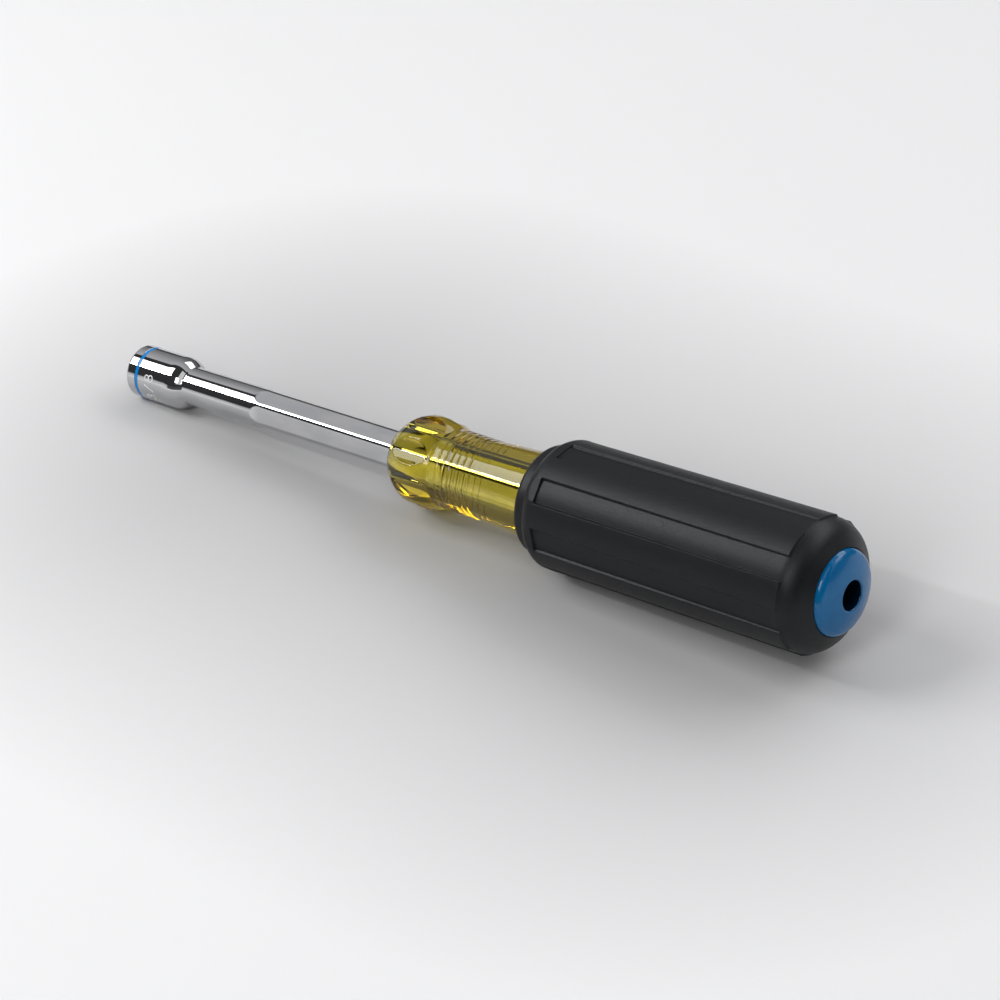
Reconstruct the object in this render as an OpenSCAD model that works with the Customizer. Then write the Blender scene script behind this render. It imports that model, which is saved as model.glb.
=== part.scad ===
// Hollow-shaft nut driver: plated socket and hex shank, colour band, clear amber
// handle core, ribbed cushion grip and end cap.
// The tool lies along X: the socket mouth is at the origin and the end cap at +X.
// Profiles are drawn as [radius, station], a station being a distance from the mouth.

/* [Socket] */
// Outside diameter of the socket
socket_d = 13.4; // [12.8:0.1:15]
// Length of the socket up to its shoulder
socket_l = 13.8; // [12.5:0.1:20]
// Size across flats of the nut that the socket drives
nut_af = 9.525; // [8:0.005:9.6]
// Depth of the hexagonal recess
nut_depth = 12; // [8:0.5:13]
// Rounding of the outer edge of the mouth
mouth_round = 0.9; // [0.3:0.1:1]
// Depth of the lead-in chamfer of the recess
mouth_chamfer = 0.5; // [0.2:0.1:0.8]
// Radius of the convex shoulder behind the socket
shoulder_round = 6.3; // [4:0.1:8]

/* [Shaft] */
// Diameter of the round neck behind the shoulder
neck_front_d = 9.7; // [9.4:0.1:10.4]
// Diameter of the round neck where the hexagon starts
neck_rear_d = 9.9; // [9.8:0.1:10.6]
// Fillet between the shoulder and the neck
neck_fillet = 1; // [0.5:0.1:2]
// Station where the neck ends and the flats start
hex_station = 42.3; // [36:0.1:60]
// Size across the flats of the hexagonal shank
hex_af = 8.95; // [8.6:0.05:9.2]
// Diameter over the rounded corners of the hexagonal shank
hex_corner_d = 9.8; // [9.6:0.1:9.8]
// Radius of the run-out at the front end of each flat
run_out_r = 9; // [3:0.5:12]
// Length of shank that shows in front of the handle
shank_show = 89.6; // [75:0.1:110]
// Length of hexagon held inside the handle
hex_grip_l = 58; // [30:1:70]
// Diameter of the round tail behind the hexagon
tail_d = 8.4; // [8:0.1:8.5]
// Diameter of the bore through the whole shaft
bore_d = 6.4; // [5:0.1:6.6]
// Turn of the hexagons about the axis
hex_roll = 44.5; // [0:0.5:60]

/* [Colour band] */
// Station of the middle of the band
band_station = 3.8; // [3:0.1:6]
// Width of the band
band_w = 1.1; // [0.6:0.1:1.6]
// Depth of the groove that holds the band
band_depth = 0.4; // [0.2:0.1:0.6]

/* [Handle core] */
// Diameter of the ball at the front of the handle
ball_d = 22.6; // [21:0.1:26]
// Diameter of the flat face that the shank enters
nose_face_d = 11.6; // [11:0.1:14]
// Number of lens-shaped flutes round the ball
flutes = 8; // [6:1:10]
// Depth of each flute at the widest part of the ball
flute_depth = 1.25; // [0.6:0.05:1.5]
// Radius of the cutter that makes the flutes
flute_r = 6.5; // [5:0.5:12]
// Diameter of the waist behind the ball
waist_d = 19; // [18:0.1:20]
// Distance from the centre of the ball to the start of the flare
waist_l = 18; // [18:0.5:22]
// Number of ring beads on the waist
beads = 6; // [2:1:6]
// Distance from the ball to the first bead
bead_start = 2.2; // [1:0.1:2.4]
// Distance between neighbouring beads
bead_pitch = 1.88; // [1.4:0.02:1.9]
// Radius of the bead's own section
bead_r = 0.4; // [0.3:0.05:0.5]
// Height of each bead above the waist
bead_h = 0.16; // [0.1:0.02:0.3]
// Diameter of the core under the grip
core_d = 21.1; // [20.8:0.1:23]

/* [Cushion grip] */
// Distance from the nose face to the front of the grip
grip_front_gap = 45; // [40:0.1:54]
// Length of the grip
grip_l = 81.8; // [70:0.1:110]
// Diameter over the ribs at the front collar
rib_front_d = 31; // [30:0.1:34]
// Diameter over the ribs at the rear
rib_rear_d = 31.8; // [31:0.1:35]
// Depth of the grooves at the collar
groove_front_depth = 0.7; // [0.4:0.05:1]
// Depth of the grooves at the dome
groove_rear_depth = 0.45; // [0.3:0.05:0.8]
// Number of ribs
ribs = 8; // [6:1:10]
// Share of each pitch that the floor of a groove takes
groove_floor_share = 0.46; // [0.4:0.01:0.55]
// Distance that each side and end of a groove leans out, from floor to rib
groove_lean = 0.4; // [0.1:0.05:0.6]
// Distance from the front of the grip to the front end of the grooves
collar_l = 7.4; // [7:0.1:12]
// Length of the straight collar in front of the grooves
collar_flat = 0.6; // [0.3:0.1:3]
// Radius of the rounded nose behind the rim
nose_round = 4; // [3:0.1:4.5]
// Outside diameter of the rim at the front
rim_d = 26.2; // [25:0.1:28]
// Radius of the rim's own section
rim_r = 1.4; // [1:0.1:1.6]
// Radius of the dome at the rear of the grip
dome_round = 6; // [5:0.1:6.2]
// Turn of the dome after which it runs straight to the cap
dome_fall = 58; // [50:1:70]
// Distance that the ribs run on past the start of the dome
rib_reach = 0.8; // [0.2:0.1:1.5]

/* [End cap] */
// Diameter of the cap's head
cap_d = 19.8; // [18:0.1:20.4]
// Height of the cap's head above the core
cap_h = 6.3; // [5.8:0.1:8]
// Rounding of the cap's rim
cap_round = 1.9; // [1:0.1:2.2]
// Radius of the cap's crown
crown_r = 23; // [18:1:60]
// Diameter of the hole through the cap
cap_hole_d = 6.8; // [5:0.1:7]
// Diameter of the spigot that the core holds
spigot_d = 12; // [10.5:0.1:14]
// Length of the spigot
spigot_l = 12; // [6:0.5:20]

/* [Fits] */
// Clearance between pieces that are pressed or moulded together
press_gap = 0.04; // [0.02:0.01:0.1]
// Clearance of a nut in the socket, across flats
nut_gap = 0.08; // [0.04:0.01:0.2]

/* [Hidden] */
$fn = 96;
arc_steps = 16;
foot_steps = 4;
overrun = 0.5;
hexagon = 6;
full_turn = 360;
half_turn = 180;
quarter_turn = 90;

// Socket and shaft
socket_r = socket_d / 2;
recess_af = nut_af + nut_gap;
recess_r = corner_r(recess_af);
neck_front_r = neck_front_d / 2;
neck_rear_r = neck_rear_d / 2;
hex_corner_r = hex_corner_d / 2;
flat_depth = neck_rear_r - hex_af / 2;
run_out_l = sqrt(2 * run_out_r * flat_depth - flat_depth * flat_depth);
hex_start = hex_station + run_out_l;
corner_station = hex_start + run_out_l;
hex_end = shank_show + hex_grip_l;
bore_r = bore_d / 2;
// The shoulder's arc and the fillet behind it touch at this angle
fillet_out = neck_front_r + neck_fillet - socket_r + shoulder_round;
fillet_angle = acos(fillet_out / (shoulder_round + neck_fillet));
neck_station = socket_l + (shoulder_round + neck_fillet) * sin(fillet_angle);

// Handle core
ball_r = ball_d / 2;
nose_face_r = nose_face_d / 2;
nose_drop = sqrt(ball_r * ball_r - nose_face_r * nose_face_r);
ball_station = shank_show + nose_drop;
waist_r = waist_d / 2;
waist_join = ball_station + sqrt(ball_r * ball_r - waist_r * waist_r);
flare_station = ball_station + waist_l;
core_r = core_d / 2;
grip_station = shank_show + grip_front_gap;
grip_end = grip_station + grip_l;

// Cushion grip
rim_out = rim_d / 2 - rim_r;
rim_station = grip_station + rim_r;
collar_r = rib_front_d / 2;
groove_station = grip_station + collar_l;
nose_station = groove_station - collar_flat;
nose_centre_r = collar_r - nose_round;
// The nose rises from the rim's own radius
nose_start_angle = -acos((rim_d / 2 - nose_centre_r) / nose_round);
groove_front_r = collar_r - groove_front_depth;
groove_rear_r = rib_rear_d / 2 - groove_rear_depth;
dome_reach_share = 0.97;
dome_station = grip_end - dome_reach_share * dome_round;
dome_centre_r = groove_rear_r - dome_round;
rib_end = dome_station + rib_reach;
rib_foot = rib_end + groove_lean;
rib_end_angle = asin((rib_foot - dome_station) / dome_round);
lip_r = cap_d / 2 + press_gap;
lip_station = dome_station + dome_round * sin(dome_fall)
    + (dome_centre_r + dome_round * cos(dome_fall) - lip_r) / tan(dome_fall);
rib_pitch = full_turn / ribs;
floor_half = rib_pitch * groove_floor_share / 2;
floor_y = groove_front_r * cos(floor_half);
floor_x = groove_front_r * sin(floor_half);
// The collar is flat in front of each groove, as wide as the groove's floor, so the tool lies still
collar_level = sqrt(collar_r * collar_r - floor_x * floor_x);
// The sides of a groove turn in towards the rear, so that its floor keeps its width as it rises
groove_slope = groove_lean / groove_front_depth;
groove_rise = groove_rear_r - groove_front_r;
groove_toe = atan(groove_slope * groove_rise / (dome_station - groove_station));

// End cap
cap_r = cap_d / 2;
core_lip_share = 0.38;
core_end = grip_end - core_lip_share * dome_round;
cap_seat = core_end + press_gap;
cap_end = cap_seat + cap_h;
cap_hole_r = cap_hole_d / 2;
spigot_r = spigot_d / 2;
spigot_front = core_end - spigot_l;
tail_end = spigot_front - press_gap;
hole_edge_share = 0.12;
hole_edge = hole_edge_share * cap_hole_r;
crown_station = cap_end - crown_r;
cap_rim_r = cap_r - cap_round;
cap_rim_angle = acos(cap_rim_r / (crown_r - cap_round));
cap_rim_station = crown_station + (crown_r - cap_round) * sin(cap_rim_angle);
cap_hole_angle = acos((cap_hole_r + hole_edge) / crown_r);

// Radius over the corners of a hexagon of a given size across flats
function corner_r(across_flats) = across_flats / 2 / cos(half_turn / hexagon);

// Points of an arc about centre c, from angle a0 to angle a1
function arc(c, r, a0, a1, steps = arc_steps) = [for (i = [0:steps])
    c + r * [cos(a0 + (a1 - a0) * i / steps), sin(a0 + (a1 - a0) * i / steps)]];

// Turns a [radius, station] profile about the tool's axis
module turned() {
    rotate([0, quarter_turn, 0]) rotate_extrude() children();
}

// Round bar or hole of radius r between two stations
module bar(r, from, to) {
    translate([from, 0, 0]) rotate([0, quarter_turn, 0]) cylinder(r = r, h = to - from);
}

// Hexagonal prism of corner radius r between two stations, one corner at the roll angle
module hex_prism(r, from, to) {
    rotate([hex_roll, 0, 0])
        translate([from, 0, 0])
            rotate([0, quarter_turn, 0]) cylinder(r = r, h = to - from, $fn = hexagon);
}

// Cutter for one flat: level with the flat, and rising in an arc at its front end
module flat_cutter(level, to) {
    reach = neck_rear_r;
    linear_extrude(height = 2 * reach, center = true) union() {
        translate([hex_start, level]) square([to - hex_start, reach]);
        intersection() {
            translate([hex_start, level + run_out_r]) circle(r = run_out_r);
            translate([hex_start - run_out_l, level]) square([run_out_l + overrun, reach]);
        }
    }
}

// Outside of the shaft before its flats are cut
module shaft_blank() {
    turned() polygon(concat(
        [[0, 0]],
        arc([socket_r - mouth_round, mouth_round], mouth_round, -quarter_turn, 0),
        arc([socket_r - shoulder_round, socket_l], shoulder_round, 0, fillet_angle),
        arc([neck_front_r + neck_fillet, neck_station], neck_fillet,
            half_turn + fillet_angle, half_turn),
        [[neck_rear_r, hex_station],
         [hex_corner_r, corner_station],
         [hex_corner_r, hex_end],
         [tail_d / 2, hex_end],
         [tail_d / 2, tail_end],
         [0, tail_end]]));
}

// One-piece plated shaft: socket, round neck, hexagonal shank and round tail
module drive_shaft() color([0.78, 0.79, 0.8]) difference() {
    shaft_blank();
    for (i = [0:hexagon - 1])
        rotate([hex_roll + (i + 1 / 2) * full_turn / hexagon, 0, 0])
            rotate([quarter_turn, 0, 0]) flat_cutter(hex_af / 2, hex_end);
    hex_prism(recess_r, -overrun, nut_depth);
    turned() polygon([[0, -overrun],
                      [recess_r + overrun, -overrun],
                      [recess_r, 0],
                      [recess_af / 2, mouth_chamfer],
                      [0, mouth_chamfer]]);
    bar(bore_r, nut_depth - overrun, tail_end + overrun);
    band_ring(0, overrun);
}

// Ring in the band's groove: a clearance on its sides and floor, and its height above the socket
module band_ring(gap, proud) {
    turned() translate([socket_r - band_depth + gap, band_station - band_w / 2 + gap])
        square([band_depth - gap + proud, band_w - 2 * gap]);
}

// Inlaid ring that shows the size by its colour
module colour_band() color([0.1, 0.45, 0.78]) band_ring(press_gap, 0);

// Outside of the core: nose face, ball, waist with beads, flare and straight part
module core_blank() {
    turned() union() {
        polygon(concat(
            [[0, shank_show]],
            arc([0, ball_station], ball_r,
                -acos(nose_face_r / ball_r), acos(waist_r / ball_r)),
            [[waist_r, flare_station],
             [core_r, rim_station + rim_r],
             [core_r, core_end],
             [0, core_end]]));
        for (i = [0:beads - 1])
            translate([waist_r + bead_h - bead_r, waist_join + bead_start + bead_pitch * i])
                circle(r = bead_r);
    }
}

// Clear handle core: holds the hexagon, the tail and the spigot of the cap
module handle_core() color([0.8, 0.68, 0.12, 0.75]) difference() {
    core_blank();
    for (i = [0:flutes - 1])
        rotate([i * full_turn / flutes, 0, 0])
            translate([0, 0, ball_r + flute_r - flute_depth])
                bar(flute_r, shank_show - overrun, waist_join);
    intersection() {
        hex_prism(corner_r(hex_af + 2 * press_gap), shank_show - overrun, hex_end + press_gap);
        bar(hex_corner_r + press_gap, shank_show - overrun, hex_end + press_gap);
    }
    bar(tail_d / 2 + press_gap, hex_end, core_end);
    bar(spigot_r + press_gap, spigot_front - press_gap, core_end + overrun);
}

// Grip at the level of its ribs: rim, rounded nose, collar, tapered body and dome
module grip_blank() {
    turned() difference() {
        union() {
            translate([rim_out, rim_station]) circle(r = rim_r);
            polygon(concat(
                [[0, rim_station], [rim_d / 2, rim_station]],
                arc([nose_centre_r, nose_station], nose_round, nose_start_angle, 0),
                [[collar_r, groove_station],
                 [rib_rear_d / 2, rib_end]],
                arc([dome_centre_r, dome_station], dome_round, rib_end_angle, dome_fall),
                [[lip_r, lip_station],
                 [0, lip_station]]));
        }
        square([core_r + press_gap, core_end]);
        square([lip_r, lip_station + overrun]);
    }
}

// Room on the inner side of one leaning wall of a groove
module groove_side(side) {
    reach = groove_slope * floor_y;
    translate([groove_station, 0, 0]) rotate([0, 0, -side * groove_toe])
        translate([-groove_station, 0, 0])
            rotate([quarter_turn, 0, quarter_turn]) linear_extrude(height = grip_end)
                polygon([[side * (floor_x - reach), 0],
                         [side * (floor_x + reach), 2 * floor_y],
                         [-2 * side * floor_y, 2 * floor_y],
                         [-2 * side * floor_y, 0]]);
}

// Cutter for one groove: a leaning slot between the collar and the dome
module groove_cutter() {
    intersection() {
        turned() polygon(concat(
            [[groove_front_r, groove_station + groove_lean],
             [groove_front_r + 2 * groove_front_depth, groove_station - groove_lean],
             [groove_rear_r + 2 * groove_rear_depth, rib_foot]],
            arc([dome_centre_r, dome_station], dome_round, rib_end_angle, 0, foot_steps)));
        groove_side(1);
        groove_side(-1);
    }
}

// Cutter for the flat on the collar in front of one groove
module collar_cutter() {
    front = nose_station - nose_round;
    translate([front, -collar_r, collar_level])
        cube([groove_station + groove_lean - front, 2 * collar_r, collar_r]);
}

// Black sleeve with grooves between its ribs, stretched over the core
module cushion_grip() color([0.09, 0.09, 0.1]) difference() {
    grip_blank();
    for (i = [0:ribs - 1]) rotate([i * rib_pitch, 0, 0]) {
        groove_cutter();
        collar_cutter();
    }
}

// Domed cap with a spigot in the core and a hole in line with the bore
module end_cap() color([0.12, 0.42, 0.7]) turned() polygon(concat(
    [[cap_hole_r, spigot_front],
     [spigot_r, spigot_front],
     [spigot_r, cap_seat],
     [cap_r, cap_seat]],
    arc([cap_rim_r, cap_rim_station], cap_round, 0, cap_rim_angle),
    arc([0, crown_station], crown_r, cap_rim_angle, cap_hole_angle),
    [[cap_hole_r, crown_station + crown_r * sin(cap_hole_angle) - hole_edge]]));

drive_shaft();
colour_band();
handle_core();
cushion_grip();
end_cap();
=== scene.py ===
"""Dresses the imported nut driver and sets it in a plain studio.

Each class below is one sub-assembly of the tool or one of its finishes. Sizes in the classes are in
millimetres. A station is a distance along X from the socket's mouth, and an angle is taken round the X axis
from +Y towards +Z, in degrees. Meshes are written in metres.
"""
from __future__ import annotations

import logging
import math
from dataclasses import dataclass
from enum import Enum

import bpy
import numpy as np
from mathutils import Matrix, Vector

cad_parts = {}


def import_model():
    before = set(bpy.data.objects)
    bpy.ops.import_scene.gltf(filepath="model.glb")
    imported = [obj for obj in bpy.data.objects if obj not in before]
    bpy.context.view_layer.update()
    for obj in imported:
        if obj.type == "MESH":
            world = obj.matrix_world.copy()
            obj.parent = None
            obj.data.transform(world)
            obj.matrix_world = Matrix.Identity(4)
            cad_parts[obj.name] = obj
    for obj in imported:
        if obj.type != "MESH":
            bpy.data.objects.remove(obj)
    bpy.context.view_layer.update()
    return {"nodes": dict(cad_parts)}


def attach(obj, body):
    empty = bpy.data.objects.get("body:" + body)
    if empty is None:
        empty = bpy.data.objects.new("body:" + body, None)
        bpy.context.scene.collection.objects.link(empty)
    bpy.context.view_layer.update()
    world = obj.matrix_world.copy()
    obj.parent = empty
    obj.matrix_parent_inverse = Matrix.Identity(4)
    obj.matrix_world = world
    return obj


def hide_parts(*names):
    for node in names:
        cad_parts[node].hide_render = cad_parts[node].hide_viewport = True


Array = np.ndarray
Pair = tuple[float, float]
Ends = tuple[Pair, Pair]
Triple = tuple[float, float, float]
Object = bpy.types.Object
Material = bpy.types.Material
Node = bpy.types.Node
Socket = bpy.types.NodeSocket
MM = 0.001
BODY = "root"
LOG = logging.getLogger("nut_driver")


class Closing(Enum):
    """How the two directions of a grid of points are closed."""

    BOTH = "both"
    ROUND_ONLY = "round only"
    CAPPED = "capped"


class Fold(Enum):
    """How often a pattern repeats round the axis."""

    HEXAGON = 6
    GRIP = 8


# Profiles and grids


def arc(centre: Pair, radius: float, start: float, end: float, steps: int) -> Array:
    """Points of an arc: station = centre + radius sin t, radius = centre + radius cos t.

    Args:
        centre: Station and radius of the arc's centre.
        radius: Radius of the arc.
        start: First angle t, in degrees from the outward direction towards +X.
        end: Last angle t.
        steps: Number of steps.

    Returns:
        An array of steps + 1 rows of station and radius.
    """
    turn = np.radians(np.linspace(start, end, steps + 1))
    return np.stack([centre[0] + radius * np.sin(turn), centre[1] + radius * np.cos(turn)], axis=1)


def straight(first: Pair, last: Pair, steps: int = 1, guard: float = 0.12) -> Array:
    """Points of a straight run, with one point close to each end so that shading stays flat along it.

    Args:
        first: Station and radius at the start.
        last: Station and radius at the end.
        steps: Number of even steps.
        guard: Distance of the extra points from the ends.

    Returns:
        Rows of station and radius.
    """
    length = math.hypot(last[0] - first[0], last[1] - first[1])
    near = min(guard / length, 0.25)
    share = np.union1d(np.linspace(0.0, 1.0, steps + 1), [near, 1.0 - near])[:, None]
    return np.asarray(first) * (1.0 - share) + np.asarray(last) * share


def chain(*runs: Array) -> Array:
    """Joins runs of points and drops each point that repeats the one before it.

    Args:
        runs: Arrays of station and radius.

    Returns:
        One array of station and radius.
    """
    points = np.concatenate(runs)
    step = np.hypot(*np.diff(points, axis=0).T)
    return points[np.concatenate([[True], step > 1e-6])]


def smooth_min(first: Array, second: Array, blend: float) -> Array:
    """The lesser of two values, with the corner between them rounded by a parabola.

    Args:
        first: One value.
        second: The other value.
        blend: Difference over which the two melt into each other.

    Returns:
        The rounded minimum.
    """
    share = np.clip(0.5 + 0.5 * (second - first) / blend, 0.0, 1.0)
    return second * (1.0 - share) + first * share - blend * share * (1.0 - share)


def smooth_step(low: float, high: float, value: Array) -> Array:
    """Rises from 0 at low to 1 at high along a cubic with level ends."""
    share = np.clip((value - low) / (high - low), 0.0, 1.0)
    return share * share * (3.0 - 2.0 * share)


def sector_angles(fold: Fold, centre: float, breaks: tuple[float, ...], counts: tuple[int, ...]) -> Array:
    """Angles round the axis, laid out alike in every sector and closer together where edges run.

    Args:
        fold: Number of sectors.
        centre: Angle of the middle of one sector.
        breaks: Ends of the stretches within a sector, from minus to plus half its width.
        counts: Number of even steps in each stretch.

    Returns:
        Angles in degrees, rising over one full turn.
    """
    sector = np.concatenate([np.linspace(low, high, count, endpoint=False)
                             for low, high, count in zip(breaks[:-1], breaks[1:], counts)])
    starts = centre + np.arange(fold.value) * 360.0 / fold.value
    return (starts[:, None] + sector[None, :]).ravel()


def from_nearest(angle: Array, fold: Fold, centre: float = 0.0) -> Array:
    """Signed angle from the nearest of the fold's centres, in radians."""
    pitch = 360.0 / fold.value
    return np.radians((angle - centre + pitch / 2.0) % pitch - pitch / 2.0)


def spread(profile: Array, angle: Array) -> Array:
    """The profile's radius at every angle, of shape (along, round)."""
    return np.repeat(profile[:, 1:2], angle.size, axis=1)


@dataclass
class Skin:
    """A surface on a grid of two parameters, ready to become a mesh.

    Attributes:
        points: Array of shape (along, round, 3), in millimetres.
        closing: Which directions of the grid wrap.
    """

    points: Array
    closing: Closing = Closing.BOTH

    @classmethod
    def turned(cls, profile: Array, angle: Array, radius: Array | None = None) -> Skin:
        """Carries a profile round the X axis: (station, radius cos angle, radius sin angle).

        Args:
            profile: Rows of station and radius.
            angle: Angles round the axis, in degrees.
            radius: Radii of shape (along, round), or None to use the profile's own.

        Returns:
            The surface.
        """
        turn = np.radians(angle)[None, :]
        radius = spread(profile, angle) if radius is None else radius
        station = np.broadcast_to(profile[:, :1], radius.shape)
        return cls(np.stack([station, radius * np.cos(turn), radius * np.sin(turn)], axis=2))

    def faces(self) -> Array:
        """Corner numbers of the quads between neighbouring rows and columns.

        Returns:
            Array of shape (faces, 4).
        """
        rows, columns = self.points.shape[:2]
        last = rows if self.closing is Closing.BOTH else rows - 1
        row, column = np.meshgrid(np.arange(last), np.arange(columns), indexing="ij")
        below, beside = (row + 1) % rows, (column + 1) % columns
        quads = np.stack([row * columns + column, row * columns + beside,
                          below * columns + beside, below * columns + column], axis=-1)
        return quads.reshape(-1, 4)

    def volume(self) -> float:
        """Six times the volume under the quads, positive where they face outwards."""
        first, second, third, fourth = self.points.reshape(-1, 3)[self.faces()].transpose(1, 0, 2)
        return float((first * (np.cross(second, third) + np.cross(third, fourth))).sum())


def piece(name: str, skins: list[Skin], sharp: float = 40.0) -> Object:
    """Makes one object at the origin from closed surfaces.

    Args:
        name: Name of the object.
        skins: The surfaces that make it up.
        sharp: Angle between faces, in degrees, from which an edge is shaded as an edge.

    Returns:
        The new object, linked to the scene.
    """
    vertices, faces, offset = [], [], 0
    for skin in skins:
        rows, columns = skin.points.shape[:2]
        blocks = [skin.faces()]
        if skin.closing is Closing.CAPPED:
            end = np.arange(columns)[None, :]
            blocks += [end[:, ::-1], (rows - 1) * columns + end]
        order = -1 if skin.volume() < 0.0 else 1
        faces += [face for block in blocks for face in (block[:, ::order] + offset).tolist()]
        vertices.append(skin.points.reshape(-1, 3) * MM)
        offset += rows * columns
    mesh = bpy.data.meshes.new(name)
    mesh.from_pydata(np.concatenate(vertices).tolist(), [], faces)
    mesh.polygons.foreach_set("use_smooth", np.ones(len(mesh.polygons), dtype=bool))
    mesh.set_sharp_from_angle(angle=math.radians(sharp))
    mesh.validate()
    mesh.update()
    made = bpy.data.objects.new(name, mesh)
    bpy.context.scene.collection.objects.link(made)
    return made


# Finishes


class Board:
    """Short calls that add and wire the nodes of one material or world."""

    def __init__(self, owner: Material | bpy.types.World) -> None:
        """Gives the owner an empty node tree.

        Args:
            owner: The material or world.
        """
        owner.use_nodes = True
        self.tree = owner.node_tree
        self.tree.nodes.clear()

    def add(self, kind: str, *first: object, operation: str | None = None, **named: object) -> Node:
        """Adds a node and fills its input sockets with values, or with links from other nodes.

        Args:
            kind: Blender's name of the node type after ShaderNode.
            first: What the first sockets take, in order.
            operation: What a maths node works out.
            named: What other sockets take, by name with spaces as underscores. None leaves one as it is.

        Returns:
            The new node.
        """
        node = self.tree.nodes.new("ShaderNode" + kind)
        if operation is not None:
            node.operation = operation
        filled = list(zip(node.inputs, first))
        filled += [(node.inputs[name.replace("_", " ")], value) for name, value in named.items()]
        for target, value in filled:
            if isinstance(value, Socket):
                self.tree.links.new(value, target)
            elif value is not None:
                target.default_value = value
        return node

    def place(self) -> Socket:
        """A point's place in the piece's own coordinates."""
        return self.add("TexCoord").outputs["Object"]

    def off_axis(self) -> Socket:
        """Distance of a point from the X axis, in metres."""
        flat = self.add("VectorMath", self.place(), (0.0, 1.0, 1.0), operation="MULTIPLY").outputs["Vector"]
        return self.add("VectorMath", flat, operation="LENGTH").outputs["Value"]

    def noise(self, layer: Layer) -> Socket:
        """A layer's noise on the piece's own coordinates."""
        place = self.add("Mapping", Vector=self.place(), Scale=(layer.stretch, 1.0, 1.0)).outputs["Vector"]
        return self.add("TexNoise", Vector=place, Scale=layer.scale, Detail=layer.detail,
                        Roughness=layer.roughness).outputs["Fac"]

    def relief(self, layer: Layer, noise: Socket, below: Socket | None = None) -> Socket | None:
        """Relief from a layer's noise.

        Args:
            layer: The layer.
            noise: Its noise, which is the height.
            below: Normal of a coarser relief under this one.

        Returns:
            The normal's socket, which is the one below where the layer has no relief.
        """
        if not layer.height:
            return below
        return self.add("Bump", Height=noise, Strength=layer.strength, Distance=layer.height,
                        Normal=below).outputs["Normal"]

    def ramp(self, value: Socket, low: Pair, high: Pair) -> Socket:
        """Maps a value evenly, from a value and its result at one end to those at the other."""
        return self.add("MapRange", value, low[0], high[0], low[1], high[1]).outputs[0]

    def tint(self, value: Socket, dark: Triple, light: Triple, ends: Pair) -> Socket:
        """Runs from one colour to another as a value rises.

        Args:
            value: The value that picks the colour.
            dark: Colour at the lower end.
            light: Colour at the upper end.
            ends: The lower and the upper end.

        Returns:
            The colour's socket.
        """
        node = self.add("ValToRGB", value)
        for element, end, colour in zip(node.color_ramp.elements, ends, (dark, light)):
            element.position, element.color = end, (*colour, 1.0)
        return node.outputs["Color"]

    def finish(self, surface: Socket, volume: Socket | None = None) -> None:
        """Wires the surface, and the inside where there is one, to the material's output."""
        self.add("OutputMaterial", Surface=surface, Volume=volume)


@dataclass(frozen=True)
class Layer:
    """One layer of noise, and the relief that it gives a surface.

    Attributes:
        scale: Number of grains per metre.
        detail: Number of finer layers within it.
        stretch: Factor on the number of grains along X.
        roughness: Strength of the finer layers.
        strength: Share of the relief that counts.
        height: Height of the relief in metres, 0 for none.
    """

    scale: float
    detail: float = 3.0
    stretch: float = 1.0
    roughness: float = 0.55
    strength: float = 0.5
    height: float = 0.0


@dataclass(frozen=True)
class Finish:
    """A finish whose colour follows a coarse layer of noise and whose roughness follows a fine one.

    Attributes:
        dark: Colour at the coarse layer's lower end.
        light: Colour at its upper end.
        gloss: Value and roughness at the fine layer's lower and upper end.
        ends: The coarse layer's lower and upper end.
        index: Refractive index.
        sheen: Colour of reflections.
        clear: Share of light that passes into the material.
    """

    name: str
    dark: Triple
    light: Triple
    coarse: Layer
    fine: Layer
    gloss: Ends
    ends: Pair = (0.3, 0.7)
    metallic: float = 0.0
    index: float = 1.5
    specular: float = 0.5
    sheen: Triple = (1.0, 1.0, 1.0)
    clear: float = 0.0

    @property
    def slot(self) -> str:
        """The record's material slot, named like the finish."""
        return self.name

    def colour(self, board: Board, coarse: Socket) -> Socket:
        """Colour of the surface by the coarse layer's noise."""
        return board.tint(coarse, self.dark, self.light, self.ends)

    def inside(self, board: Board) -> Socket | None:
        """What light crosses inside the material: nothing, unless a finish says otherwise."""
        return None

    def material(self) -> Material:
        """Builds the nodes of the finish.

        Returns:
            The material.
        """
        material = bpy.data.materials.new(self.name)
        board = Board(material)
        coarse, fine = board.noise(self.coarse), board.noise(self.fine)
        shader = board.add(
            "BsdfPrincipled", Base_Color=self.colour(board, coarse), Metallic=self.metallic,
            Roughness=board.ramp(fine, *self.gloss), IOR=self.index, Specular_IOR_Level=self.specular,
            Specular_Tint=(*self.sheen, 1.0), Transmission_Weight=self.clear,
            Normal=board.relief(self.fine, fine, board.relief(self.coarse, coarse)))
        board.finish(shader.outputs["BSDF"], self.inside(board))
        return material


@dataclass(frozen=True)
class ChromePlate(Finish):
    """Bright plate over polished steel, with faint polishing lines and a slight waviness."""

    name: str = "chrome_plate"
    dark: Triple = (0.5, 0.505, 0.515)
    light: Triple = (0.56, 0.56, 0.565)
    coarse: Layer = Layer(260.0, 2.0, stretch=0.35, strength=0.6, height=0.000008)
    fine: Layer = Layer(2600.0, stretch=0.05, roughness=0.7, strength=0.6, height=0.0000012)
    gloss: Ends = ((0.3, 0.03), (0.75, 0.07))
    ends: Pair = (0.35, 0.65)
    metallic: float = 1.0


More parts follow.
